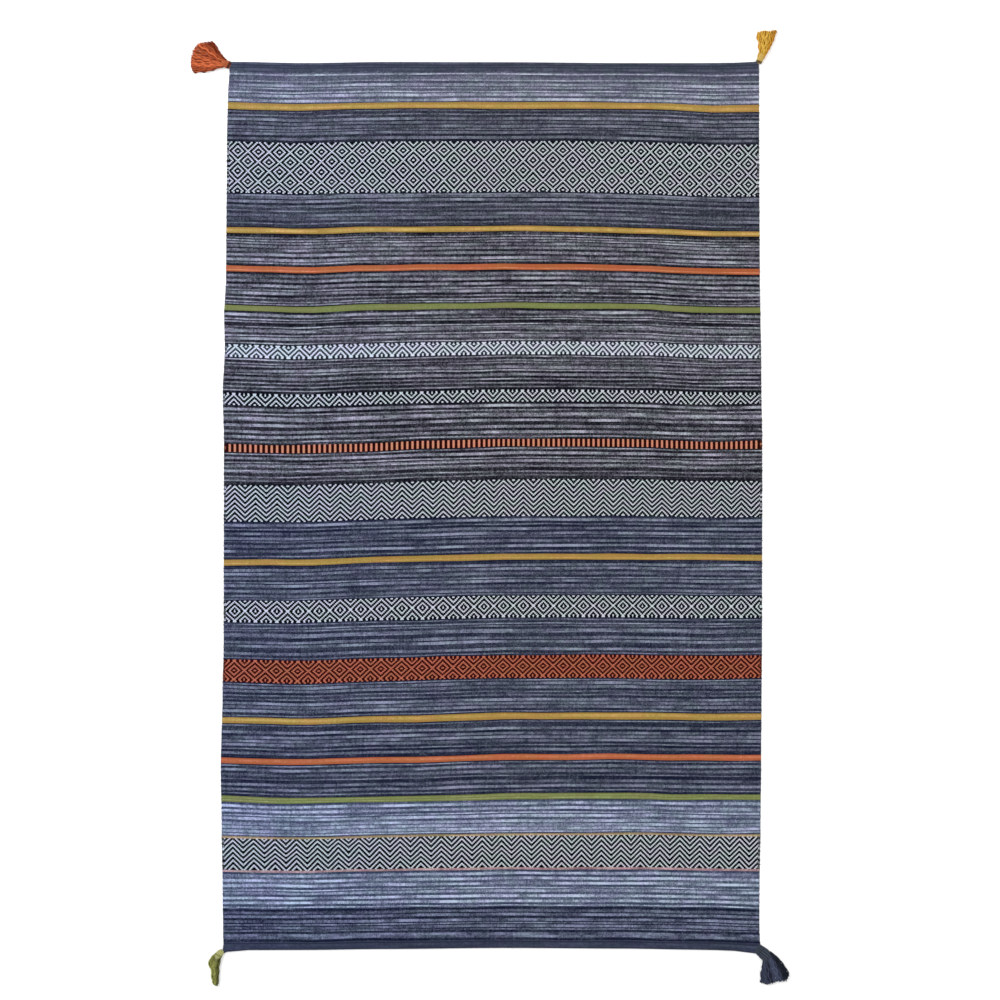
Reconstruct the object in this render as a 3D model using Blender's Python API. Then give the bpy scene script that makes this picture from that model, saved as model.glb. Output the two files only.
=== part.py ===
"""Flat-woven kilim rug, about 1.20 m by 2.00 m, with a tassel at each corner.

Metres, +Z up. The origin is the middle of the rug's underside, on the floor.
+X runs across the rug to its right side, and +Y runs along it to its top end.
Run it with: blender --background --python part.py
"""

import math
import random
from typing import NamedTuple

import bmesh
import bpy
from mathutils import Vector

MM = 0.001

# Driving sizes of the rug
RUG_WIDTH = 1200 * MM
RUG_LENGTH = 1992 * MM
CLOTH_THICK = 3.0 * MM
HEM_THICK = 5.0 * MM
HEM_DEPTH = 19.0 * MM
HEM_SHOULDER = 3.0 * MM
EDGE_ROUND = 3.0 * MM
EDGE_HEIGHT_SHARE = 0.55
PULL_EASE = 1.5

# Finish
RUG_COLOUR = (0.09, 0.10, 0.19, 1.0)
YARN_ROUGHNESS = 0.9

# Grid lines: close to the edges they stand at these distances, and evenly between
SIDE_LINES = tuple(d * MM for d in (0, 1, 3, 8, 15, 24, 40))
END_LINES = tuple(d * MM for d in (0, 1, 3, 8, 16, 19, 22, 30, 45))
MIDDLE_COLUMNS = 12
MIDDLE_ROWS = 26

# Sizes that all four tassels share
GAP = 0.3 * MM
LOCK_GAP = 0.35 * MM
LOCK_FILL = 0.84
ROOT_FILL = 0.66
ROOT_WIDTH = 0.60
ROOT_HEIGHT = 0.60
CROWN_SQUASH = 0.92
HEAD_RESTS_AT = 0.36
REST_SHARE = 0.38
LENGTH_VARIES = 0.05
LAYER_SHIFT = 0.12
SWAY = 0.10
SWAY_TURNS = 90.0


class SideRow(NamedTuple):
    """How far each selvedge stands from the middle line, at one place along the rug."""

    along: float
    left: float
    right: float


class EndRow(NamedTuple):
    """How far each end stands from the middle, at one place across the rug."""

    across: float
    bottom: float
    top: float


class Pull(NamedTuple):
    """How far a tassel draws its corner of the cloth out, and how far in that reaches."""

    across: float
    along: float
    reach: float


class HeadRow(NamedTuple):
    """One section of a tassel's wound head, between its seat and its skirt."""

    share: float
    girth: float
    height: float


class SkirtRow(NamedTuple):
    """The skirt's two sides, as bearings in degrees, at one distance from the neck."""

    reach: float
    first: float
    last: float


class Tassel(NamedTuple):
    """One tassel: its corner, the place of its neck, its sizes and its skirt."""

    name: str
    corner: tuple
    neck: tuple
    head_width: float
    lock_thick: float
    columns: int
    layers: int
    lengths: tuple
    skirt: tuple
    colour: tuple


SIDES = [
    SideRow(-996 * MM, 605.0 * MM, 600.5 * MM),
    SideRow(-880 * MM, 605.0 * MM, 600.5 * MM),
    SideRow(-715 * MM, 607.5 * MM, 602.5 * MM),
    SideRow(-580 * MM, 609.5 * MM, 603.0 * MM),
    SideRow(-410 * MM, 605.0 * MM, 605.0 * MM),
    SideRow(-300 * MM, 603.0 * MM, 607.0 * MM),
    SideRow(160 * MM, 603.0 * MM, 607.0 * MM),
    SideRow(260 * MM, 605.0 * MM, 605.0 * MM),
    SideRow(360 * MM, 598.5 * MM, 605.0 * MM),
    SideRow(430 * MM, 600.5 * MM, 603.0 * MM),
    SideRow(520 * MM, 596.5 * MM, 602.0 * MM),
    SideRow(830 * MM, 596.0 * MM, 600.5 * MM),
    SideRow(910 * MM, 593.5 * MM, 600.5 * MM),
    SideRow(996 * MM, 588.5 * MM, 600.5 * MM),
]
ENDS = [
    EndRow(-600 * MM, 996.0 * MM, 998.0 * MM),
    EndRow(-420 * MM, 997.0 * MM, 994.5 * MM),
    EndRow(-240 * MM, 994.5 * MM, 997.0 * MM),
    EndRow(30 * MM, 992.0 * MM, 996.5 * MM),
    EndRow(300 * MM, 994.0 * MM, 994.5 * MM),
    EndRow(460 * MM, 997.0 * MM, 994.5 * MM),
    EndRow(600 * MM, 1001.0 * MM, 995.5 * MM),
]
PULLS = {
    (0, 1): Pull(-3.5 * MM, -1.0 * MM, 26 * MM),
    (1, 1): Pull(-1.0 * MM, 4.0 * MM, 24 * MM),
    (0, 0): Pull(-1.5 * MM, -0.5 * MM, 20 * MM),
    (1, 0): Pull(4.5 * MM, -6.0 * MM, 30 * MM),
}
HEAD = [
    HeadRow(0.00, 0.42, 0.40),
    HeadRow(0.14, 0.82, 0.74),
    HeadRow(0.36, 1.00, 1.00),
    HeadRow(0.60, 0.96, 0.98),
    HeadRow(0.76, 0.70, 0.80),
    HeadRow(0.82, 0.76, 0.86),
    HeadRow(0.88, 0.70, 0.80),
    HeadRow(1.00, 0.86, 0.92),
]
TASSELS = [
    Tassel(
        name="tassel_orange",
        corner=(0, 1),
        neck=(-607.3 * MM, 995.0 * MM),
        head_width=13.5 * MM,
        lock_thick=2.4 * MM,
        columns=12,
        layers=3,
        lengths=(1.0, 0.99, 0.99, 1.0, 0.93),
        skirt=(
            SkirtRow(11.0 * MM, 232.0, 112.0),
            SkirtRow(27.0 * MM, 217.0, 121.0),
            SkirtRow(40.0 * MM, 210.0, 125.0),
            SkirtRow(54.0 * MM, 203.5, 130.0),
            SkirtRow(66.0 * MM, 198.0, 137.0),
        ),
        colour=(0.74, 0.12, 0.015, 1.0),
    ),
    Tassel(
        name="tassel_yellow",
        corner=(1, 1),
        neck=(603.5 * MM, 1006.9 * MM),
        head_width=10.0 * MM,
        lock_thick=2.6 * MM,
        columns=9,
        layers=3,
        lengths=(0.89, 0.95, 1.0, 1.08, 1.19),
        skirt=(
            SkirtRow(10.0 * MM, 118.0, 34.0),
            SkirtRow(23.0 * MM, 99.0, 40.0),
            SkirtRow(36.0 * MM, 101.0, 46.0),
            SkirtRow(49.0 * MM, 101.0, 52.0),
            SkirtRow(59.0 * MM, 99.5, 59.0),
        ),
        colour=(0.74, 0.34, 0.03, 1.0),
    ),
    Tassel(
        name="tassel_green",
        corner=(0, 0),
        neck=(-616.5 * MM, -1010.0 * MM),
        head_width=13.5 * MM,
        lock_thick=2.3 * MM,
        columns=6,
        layers=4,
        lengths=(0.97, 1.0, 1.03, 1.0, 0.95),
        skirt=(
            SkirtRow(9.0 * MM, 200.0, 308.0),
            SkirtRow(19.0 * MM, 210.0, 288.0),
            SkirtRow(29.0 * MM, 234.0, 279.5),
            SkirtRow(45.0 * MM, 254.0, 273.0),
            SkirtRow(64.0 * MM, 261.0, 271.0),
        ),
        colour=(0.26, 0.29, 0.04, 1.0),
    ),
    Tassel(
        name="tassel_navy",
        corner=(1, 0),
        neck=(616.3 * MM, -1015.6 * MM),
        head_width=17.0 * MM,
        lock_thick=2.5 * MM,
        columns=12,
        layers=3,
        lengths=(0.91, 1.0, 0.99, 1.03, 1.12, 1.04),
        skirt=(
            SkirtRow(11.0 * MM, 232.0, 366.0),
            SkirtRow(21.0 * MM, 243.0, 364.0),
            SkirtRow(34.0 * MM, 249.0, 344.0),
            SkirtRow(47.0 * MM, 252.5, 334.0),
            SkirtRow(58.5 * MM, 254.5, 327.0),
        ),
        colour=(0.03, 0.035, 0.075, 1.0),
    ),
]


def clear_scene():
    """Removes every object that is in the scene."""
    for thing in list(bpy.data.objects):
        bpy.data.objects.remove(thing, do_unlink=True)


def finish_colour(name, colour):
    """Makes one matt yarn material in its colour."""
    material = bpy.data.materials.new(name)
    material.use_nodes = True
    shader = material.node_tree.nodes["Principled BSDF"]
    shader.inputs["Base Color"].default_value = colour
    shader.inputs["Roughness"].default_value = YARN_ROUGHNESS
    shader.inputs["Metallic"].default_value = 0.0
    return material


def add_object(name, bm, colour):
    """Turns a bmesh into a named object with its own material."""
    bmesh.ops.recalc_face_normals(bm, faces=bm.faces[:])
    mesh = bpy.data.meshes.new(name)
    bm.to_mesh(mesh)
    bm.free()
    mesh.materials.append(finish_colour(name + "_yarn", colour))
    thing = bpy.data.objects.new(name, mesh)
    bpy.context.scene.collection.objects.link(thing)
    return thing


def mix(low, high, share):
    """The value that lies share of the way from low to high."""
    return low + (high - low) * share


def smooth(share):
    """Eases a share that runs from 0 to 1, and holds it inside those limits."""
    share = min(max(share, 0.0), 1.0)
    return share * share * (3 - 2 * share)


def read_rows(rows, place, column):
    """Reads one column of a table between its rows, by the place in its first column."""
    if place <= rows[0][0]:
        return getattr(rows[0], column)
    for before, after in zip(rows, rows[1:]):
        if place <= after[0]:
            share = smooth((place - before[0]) / (after[0] - before[0]))
            return mix(getattr(before, column), getattr(after, column), share)
    return getattr(rows[-1], column)


def read_evenly(values, share):
    """Reads evenly spaced values at a share of their whole run."""
    place = min(max(share, 0.0), 1.0) * (len(values) - 1)
    before = min(int(place), len(values) - 2)
    return mix(values[before], values[before + 1], place - before)


def grid_lines(size, near, middle):
    """Shares of a size for grid lines that crowd towards both edges."""
    inner = [mix(near[-1], size - near[-1], i / middle) for i in range(1, middle)]
    lines = list(near) + inner + [size - d for d in reversed(near)]
    return [line / size for line in lines]


def cloth_point(across, along):
    """The place on the floor of a point given by its shares across and along the cloth."""
    level = mix(-RUG_LENGTH / 2, RUG_LENGTH / 2, along)
    left = -read_rows(SIDES, level, "left")
    right = read_rows(SIDES, level, "right")
    x = mix(left, right, across)
    y = mix(-read_rows(ENDS, x, "bottom"), read_rows(ENDS, x, "top"), along)
    for (side, end), pull in PULLS.items():
        away = math.hypot((across - side) * RUG_WIDTH, (along - end) * RUG_LENGTH)
        weight = max(0.0, 1 - away / pull.reach) ** PULL_EASE
        x += pull.across * weight
        y += pull.along * weight
    return x, y


def cloth_height(across, along):
    """The height of the cloth's face: its thickness, its hems and its rounded edges."""
    from_side = min(across, 1 - across) * RUG_WIDTH
    from_end = min(along, 1 - along) * RUG_LENGTH
    shoulder = smooth((HEM_DEPTH + HEM_SHOULDER - from_end) / HEM_SHOULDER)
    full = mix(CLOTH_THICK, HEM_THICK, shoulder)
    inside = min(min(from_side, from_end) / EDGE_ROUND, 1.0)
    rounding = math.sqrt(1 - (1 - inside) ** 2)
    return full * mix(EDGE_HEIGHT_SHARE, 1.0, rounding)


def build_rug():
    """The cloth: a flat slab with the rug's uneven outline and two thicker hems."""
    columns = grid_lines(RUG_WIDTH, SIDE_LINES, MIDDLE_COLUMNS)
    rows = grid_lines(RUG_LENGTH, END_LINES, MIDDLE_ROWS)
    bm = bmesh.new()
    bmesh.ops.create_grid(
        bm, x_segments=len(columns) - 1, y_segments=len(rows) - 1, size=0.5
    )
    for vert in bm.verts:
        column = round((vert.co.x + 0.5) * (len(columns) - 1))
        row = round((vert.co.y + 0.5) * (len(rows) - 1))
        across, along = columns[column], rows[row]
        x, y = cloth_point(across, along)
        vert.co = (x, y, cloth_height(across, along))
    rim = [edge for edge in bm.edges if edge.is_boundary]
    walls = bmesh.ops.extrude_edge_only(bm, edges=rim)["geom"]
    for piece in walls:
        if isinstance(piece, bmesh.types.BMVert):
            piece.co.z = 0.0
    rim = [edge for edge in bm.edges if edge.is_boundary]
    bmesh.ops.contextual_create(bm, geom=rim)
    return add_object("rug", bm, RUG_COLOUR)


def place_ring(ring, spot, centre, side, half_width, half_height):
    """Sets one round section of a head, from where each point lies around the rim."""
    for vert in ring:
        turn = vert[spot].normalized()
        vert.co = centre + side * (half_width * turn.x)
        vert.co.z += half_height * turn.y


def add_root_face(bm, tassel, spot, centre, side):
    """The flat face at the neck, one cell for each lock of yarn that grows from it."""
    bmesh.ops.create_grid(
        bm, x_segments=tassel.columns, y_segments=tassel.layers, size=1.0
    )
    half_width = tassel.head_width / 2 * ROOT_WIDTH
    half_height = tassel.head_width / 2 * CROWN_SQUASH * ROOT_HEIGHT
    for vert in bm.verts:
        vert[spot] = vert.co
        vert.co = centre + side * (half_width * vert[spot].x)
        vert.co.z += half_height * vert[spot].y
    return bm.faces[:]


def add_head(bm, tassel, spot, seat, axis, side):
    """The wound head: round sections from the neck back to the seat at the corner."""
    length = (Vector(tassel.neck) - seat.xy).length
    radius = tassel.head_width / 2
    crown = radius * CROWN_SQUASH
    for row in reversed(HEAD):
        rim = [edge for edge in bm.edges if edge.is_boundary]
        made = bmesh.ops.extrude_edge_only(bm, edges=rim)["geom"]
        ring = [piece for piece in made if isinstance(piece, bmesh.types.BMVert)]
        half_height = crown * row.height
        centre = seat + axis * (length * row.share)
        rise = smooth(row.share / HEAD_RESTS_AT)
        centre.z = mix(half_height + GAP, crown, rise)
        place_ring(ring, spot, centre, side, radius * row.girth, half_height)
    rim = [edge for edge in bm.edges if edge.is_boundary]
    bmesh.ops.contextual_create(bm, geom=rim)


def grow_lock(bm, tassel, spot, cell, length_share):
    """One lock of yarn, four-sided, grown from its cell of the root face to its tip.

    It fans out between the skirt's two sides and comes down to lie level on the floor,
    or on the layer of locks below it.
    """
    middle = sum((vert[spot] for vert in cell.verts), Vector()) / 4
    column = (middle.x + 1) / 2
    layer = round((middle.y + 1) / 2 * tassel.layers - 0.5)
    corners = [(vert[spot] - middle).xy for vert in cell.verts]
    ways = [(math.copysign(0.5, c.x), math.copysign(0.5, c.y)) for c in corners]
    root = cell.calc_center_median()
    root_corners = [vert.co.copy() for vert in cell.verts]
    face = bmesh.ops.extrude_discrete_faces(bm, faces=[cell])["faces"][0]
    for vert, corner in zip(face.verts, root_corners):
        vert.co = root + (corner - root) * ROOT_FILL
    reach_share = read_evenly(tassel.lengths, column) * length_share
    pitch = tassel.lock_thick + LOCK_GAP
    for row in tassel.skirt:
        settled = smooth(row.reach / (tassel.skirt[-1].reach * REST_SHARE))
        rest_height = layer * pitch + tassel.lock_thick / 2
        height = mix(root.z, rest_height, settled)
        sway = SWAY * math.sin(SWAY_TURNS * row.reach + layer) / tassel.columns
        face = bmesh.ops.extrude_discrete_faces(bm, faces=[face])["faces"][0]
        for vert, (aside, up) in zip(face.verts, ways):
            share = column + (aside * LOCK_FILL + layer_shift(layer)) / tassel.columns + sway
            bearing = math.radians(mix(row.first, row.last, share))
            reach = row.reach * reach_share
            vert.co.x = tassel.neck[0] + reach * math.cos(bearing)
            vert.co.y = tassel.neck[1] + reach * math.sin(bearing)
            vert.co.z = height + up * tassel.lock_thick


def layer_shift(layer):
    """How far a layer of locks stands aside from the one below, as a share of a lock."""
    return LAYER_SHIFT * (layer % 2 * 2 - 1)


def build_tassel(tassel, draw):
    """One tassel: its wound head beside the rug's corner, and its skirt of locks."""
    corner = Vector(cloth_point(*tassel.corner))
    axis = (Vector(tassel.neck) - corner).normalized()
    seat = (corner + axis * GAP).to_3d()
    axis = axis.to_3d()
    turn = 1 if tassel.skirt[0].last > tassel.skirt[0].first else -1
    side = Vector((-axis.y, axis.x, 0)) * turn
    bm = bmesh.new()
    spot = bm.verts.layers.float_vector.new("spot")
    neck = Vector(tassel.neck).to_3d()
    neck.z = tassel.head_width / 2 * CROWN_SQUASH
    cells = add_root_face(bm, tassel, spot, neck, side)
    add_head(bm, tassel, spot, seat, axis, side)
    for cell in cells:
        length_share = 1 + LENGTH_VARIES * draw.uniform(-1, 1)
        grow_lock(bm, tassel, spot, cell, length_share)
    return add_object(tassel.name, bm, tassel.colour)


def main():
    """Builds the rug and its four tassels."""
    clear_scene()
    draw = random.Random(12)
    build_rug()
    for tassel in TASSELS:
        build_tassel(tassel, draw)


main()
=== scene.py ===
"""The look of a flat-woven kilim rug, about 1.20 m by 2.00 m, with a tassel at each corner.

The rug is one closed sheet with a rib for every weft pick. Its picks follow the bow of the
real weave, and its bands, figures and heather are drawn by the cloth's own material.
Each tassel is a wound head, its binding and a fan of loose yarns.

Metres, +Z up. The origin is the middle of the rug's underside, on the floor.
"""

import logging
import math
import random
from dataclasses import dataclass, field
from enum import Enum

import bpy
from bpy.types import NodeSocket as Socket
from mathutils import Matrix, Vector, noise


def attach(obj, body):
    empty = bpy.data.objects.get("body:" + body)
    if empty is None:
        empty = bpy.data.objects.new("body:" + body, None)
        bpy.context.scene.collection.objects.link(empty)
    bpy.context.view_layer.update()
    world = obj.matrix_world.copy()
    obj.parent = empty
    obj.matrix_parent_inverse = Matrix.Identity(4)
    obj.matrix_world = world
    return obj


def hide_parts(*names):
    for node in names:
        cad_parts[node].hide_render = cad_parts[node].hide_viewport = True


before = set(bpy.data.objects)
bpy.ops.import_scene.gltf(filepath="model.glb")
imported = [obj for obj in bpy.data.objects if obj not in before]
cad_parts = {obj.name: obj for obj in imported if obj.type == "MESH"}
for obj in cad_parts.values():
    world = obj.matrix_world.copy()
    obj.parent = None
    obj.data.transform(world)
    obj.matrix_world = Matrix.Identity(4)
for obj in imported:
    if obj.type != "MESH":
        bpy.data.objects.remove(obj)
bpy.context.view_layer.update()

MM = 0.001
# How much brighter the studio shows a yarn than the yarn's own colour is
STUDIO_LIGHT = 1.12
LOG = logging.getLogger("kilim_rug")


def mix(low: float, high: float, share: float) -> float:
    """The value that lies share of the way from low to high."""
    return low + (high - low) * share


def smooth(share: float) -> float:
    """Eases a share that runs from 0 to 1, and holds it inside those limits."""
    share = min(max(share, 0.0), 1.0)
    return share * share * (3 - 2 * share)


def read_evenly(values: tuple, share: float) -> float:
    """Reads evenly spaced values.

    Args:
        values: Two values or more.
        share: Where to read, from 0 at the first value to 1 at the last.

    Returns:
        The value there.
    """
    place = min(max(share, 0.0), 1.0) * (len(values) - 1)
    before = min(int(place), len(values) - 2)
    return mix(values[before], values[before + 1], place - before)


def read_between(places: list, values: list, place: float, eased: bool = False) -> float:
    """Reads values that are given at rising places.

    Args:
        places: The places, from low to high.
        values: One value for each place.
        place: Where to read.
        eased: Whether the value eases from one place to the next, or runs straight.

    Returns:
        The value at the place, held at the first and last values outside them.
    """
    if place <= places[0]:
        return values[0]
    for i in range(1, len(places)):
        if place <= places[i]:
            share = (place - places[i - 1]) / (places[i] - places[i - 1])
            return mix(values[i - 1], values[i], smooth(share) if eased else share)
    return values[-1]


def seen(red: float, green: float, blue: float) -> tuple:
    """The own colour of a yarn that the picture shows in a given colour.

    Args:
        red: Its red in the picture, 0 to 255.
        green: Its green in the picture.
        blue: Its blue in the picture.

    Returns:
        The yarn's red, green and blue as light, 0 to 1.
    """
    shares = [value / 255 for value in (red, green, blue)]
    linear = [s / 12.92 if s <= 0.04045 else ((s + 0.055) / 1.055) ** 2.4 for s in shares]
    return tuple(value / STUDIO_LIGHT for value in linear)


class Figure(Enum):
    """What the weaver draws in a band."""

    HEATHER = 0
    DIAMONDS = 1
    CHEVRONS = 2
    BARS = 3
    PLAIN = 4


@dataclass(frozen=True)
class Yarn:
    """Two shades that lie mixed in a band.

    light_share is how much of the light shade shows, and contrast how sharply they part.
    """

    dark: tuple
    light: tuple
    light_share: float = 0.46
    contrast: float = 1.0


@dataclass(frozen=True)
class Band:
    """One band of the weave, on the rug's middle line.

    Args:
        lower: The level of its lower edge.
        yarn: The shades it is woven in.
        figure: What is drawn in it.
        centre: The level at which the figure's count of half repeats is zero.
        half_repeat: The height of half a repeat of the figure.
    """

    lower: float
    yarn: Yarn
    figure: Figure = Figure.HEATHER
    centre: float = 0.0
    half_repeat: float = 22.2 * MM


@dataclass(frozen=True)
class Pick:
    """One turn of weft across the rug, with the band it belongs to."""

    upper: float
    lower: float
    band: Band
    strand: float
    before: float
    tone: float
    count: float


@dataclass(frozen=True)
class Pull:
    """How far a tassel draws its corner of the cloth out, and how far in that reaches.

    The side is 0 at the left and 1 at the right, and the end 0 at the bottom and 1 at the top.
    """

    side: int
    end: int
    across: float
    along: float
    reach: float


@dataclass(frozen=True)
class WeftLine:
    """How far one weft bows up or down from its level on the middle line, in millimetres."""

    level: float
    rises: tuple


HEM_YARN = Yarn(seen(47, 52, 66), seen(88, 94, 108))
LOW_HEM_YARN = Yarn(seen(38, 43, 60), seen(76, 83, 103))
LAVENDER = Yarn(seen(58, 62, 78), seen(190, 196, 212), 0.49, 1.1)
NAVY = Yarn(seen(20, 23, 37), seen(148, 153, 168), 0.435, 1.05)
CHARCOAL = Yarn(seen(13, 13, 24), seen(186, 188, 200), 0.4, 1.15)
BLUE = Yarn(seen(18, 24, 46), seen(150, 158, 176), 0.435, 1.1)
PALE_BLUE = Yarn(seen(48, 58, 81), seen(192, 204, 228), 0.49, 1.2)
DEEP_BLUE = Yarn(seen(10, 18, 42), seen(150, 160, 186), 0.41, 1.1)
MUSTARD = Yarn(seen(154, 122, 58), seen(230, 194, 116), contrast=0.8)
ORANGE = Yarn(seen(168, 91, 54), seen(226, 148, 110), contrast=0.95)
GREEN = Yarn(seen(112, 118, 66), seen(168, 180, 124), contrast=0.95)
OCHRE = Yarn(seen(120, 101, 72), seen(214, 194, 156), 0.51)
ROSE = Yarn(seen(106, 76, 84), seen(206, 174, 174), 0.5)
WHITE_ON_BLACK = Yarn(seen(2, 6, 12), seen(207, 214, 219), 0.335, 1.7)
WHITE_ON_GREY = Yarn(seen(30, 36, 46), seen(212, 219, 228), 0.45, 1.1)
ORANGE_ON_BLACK = Yarn(seen(40, 2, 0), seen(206, 138, 108), 0.42, 1.4)
ORANGE_ON_MAROON = Yarn(seen(52, 0, 0), seen(182, 106, 80), 0.4, 1.25)

# Bands from the top end of the rug down to its bottom end
BANDS = [
    Band(977 * MM, HEM_YARN, Figure.PLAIN),
    Band(906 * MM, LAVENDER),
    Band(892 * MM, MUSTARD),
    Band(819 * MM, NAVY),
    Band(705.5 * MM, WHITE_ON_BLACK, Figure.DIAMONDS, 754 * MM),
    Band(629 * MM, NAVY),
    Band(616.5 * MM, MUSTARD),
    Band(544 * MM, CHARCOAL),
    Band(531 * MM, ORANGE),
    Band(456.5 * MM, CHARCOAL),
    Band(444 * MM, GREEN),
    Band(369.5 * MM, CHARCOAL),
    Band(340.5 * MM, WHITE_ON_GREY, Figure.DIAMONDS, 343.5 * MM),
    Band(261.5 * MM, CHARCOAL),
    Band(235 * MM, WHITE_ON_BLACK, Figure.DIAMONDS, 236 * MM),
    Band(150.5 * MM, CHARCOAL),
    Band(133.5 * MM, ORANGE_ON_BLACK, Figure.BARS),
    Band(59.5 * MM, CHARCOAL),
    Band(-22.5 * MM, WHITE_ON_BLACK, Figure.CHEVRONS, 57 * MM, 21.8 * MM),
    Band(-108 * MM, BLUE),
    Band(-121 * MM, MUSTARD),
    Band(-201 * MM, BLUE),
    Band(-250 * MM, WHITE_ON_BLACK, Figure.DIAMONDS, -224.5 * MM),
    Band(-335 * MM, BLUE),
    Band(-386 * MM, ORANGE_ON_MAROON, Figure.DIAMONDS, -359 * MM, 21.2 * MM),
    Band(-464.5 * MM, BLUE),
    Band(-479 * MM, MUSTARD),
    Band(-557 * MM, BLUE),
    Band(-570 * MM, ORANGE),
    Band(-645.5 * MM, BLUE),
    Band(-658.5 * MM, GREEN),
    Band(-735 * MM, PALE_BLUE),
    Band(-740 * MM, OCHRE, Figure.PLAIN),
    Band(-811 * MM, WHITE_ON_BLACK, Figure.CHEVRONS, -745.5 * MM),
    Band(-816 * MM, ROSE, Figure.PLAIN),
    Band(-900 * MM, PALE_BLUE),
    Band(-973 * MM, DEEP_BLUE),
    Band(-992 * MM, LOW_HEM_YARN, Figure.PLAIN),
]

# The bow of the weft: places across the rug, and how far it stands up there in millimetres
WEFT_PLACES = [d * MM for d in (-594, -430, -295, -160, 19, 154, 288, 356, 423, 490, 592)]
WEFT_LINES = [
    WeftLine(900 * MM, (0.5, -4.5, 0, 1, 0, 1, 0, -1.5, -4, -7, -6.5)),
    WeftLine(624 * MM, (-2.5, -6.5, -2.5, -1.5, 0, 0, -3.5, -6, -9, -11.5, -12.5)),
    WeftLine(451 * MM, (-4.5, -10, -4.5, -2.5, 0, -0.5, -2, -2.5, -8, -10, -11)),
    WeftLine(248 * MM, (-7.5, -12, -7, -3.5, 0, 0, -1, -1.5, -5, -6.5, -6)),
    WeftLine(143 * MM, (-11.5, -15, -10.5, -5, 0, 0.5, -0.5, -1.5, -4.5, -6, -4.5)),
    WeftLine(-113 * MM, (-12.5, -13, -7, -4, 0, 0.5, 1, 0.5, 0, -0.5, -1.5)),
    WeftLine(-360 * MM, (-9, -13, -8, -5, 0, 0, 0, -1, -2, -3, -0.5)),
    WeftLine(-562 * MM, (-7.5, -12.5, -8, -5.5, 0, 0.5, 1, 0, -0.5, -1.5, -1.5)),
    WeftLine(-651 * MM, (-5, -10.5, -7.5, -5.5, 0, 1, 1.5, 1, -2, -2, -2)),
    WeftLine(-737 * MM, (-5, -9, -5, -2.5, 0, 0.5, 1, 1, 0, -2, -2)),
]

# How far each selvedge stands from the middle line: level along the rug, left, right
SIDE_LEVELS = [d * MM for d in (-996, -880, -715, -580, -410, -300, 160, 260,
                                360, 430, 520, 830, 910, 996)]
LEFT_SIDE = [d * MM for d in (601.5, 603, 605.5, 607.5, 603.5, 601, 600.5, 603,
                              598.5, 600, 595.5, 593.5, 591.5, 587)]
RIGHT_SIDE = [d * MM for d in (601.5, 601, 603.5, 605, 606, 607, 607.5, 605.5,
                               605, 603.5, 602, 600.5, 600.5, 600.5)]

# How far each end stands from the middle: place across the rug, bottom, top
END_PLACES = [d * MM for d in (-600, -420, -240, 30, 300, 460, 600)]
BOTTOM_END = [d * MM for d in (998, 997.5, 995.5, 993, 994.5, 997, 1001)]
TOP_END = [d * MM for d in (998, 994.5, 997, 996.5, 994.5, 994.5, 995.5)]

PULLS = [
    Pull(0, 1, -3.5 * MM, -1.0 * MM, 26 * MM),
    Pull(1, 1, -1.0 * MM, 4.0 * MM, 24 * MM),
    Pull(0, 0, -5.5 * MM, -13.0 * MM, 18 * MM),
    Pull(1, 0, 7.0 * MM, -8.0 * MM, 36 * MM),
]

# The warp's threading: shares across the rug, and the figure's repeats counted up to each
THREADING_SHARES = [0, 0.0195, 0.0586, 0.1387, 0.2163, 0.4077, 0.4837, 0.5196, 0.5565, 0.6314, 0.7421,
                    0.8137, 0.8878, 0.9985, 1]
THREADING_REPEATS = [-0.54, 0, 1, 3, 5, 10, 12, 13, 14, 16, 19, 21, 23, 26, 26.04]


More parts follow.
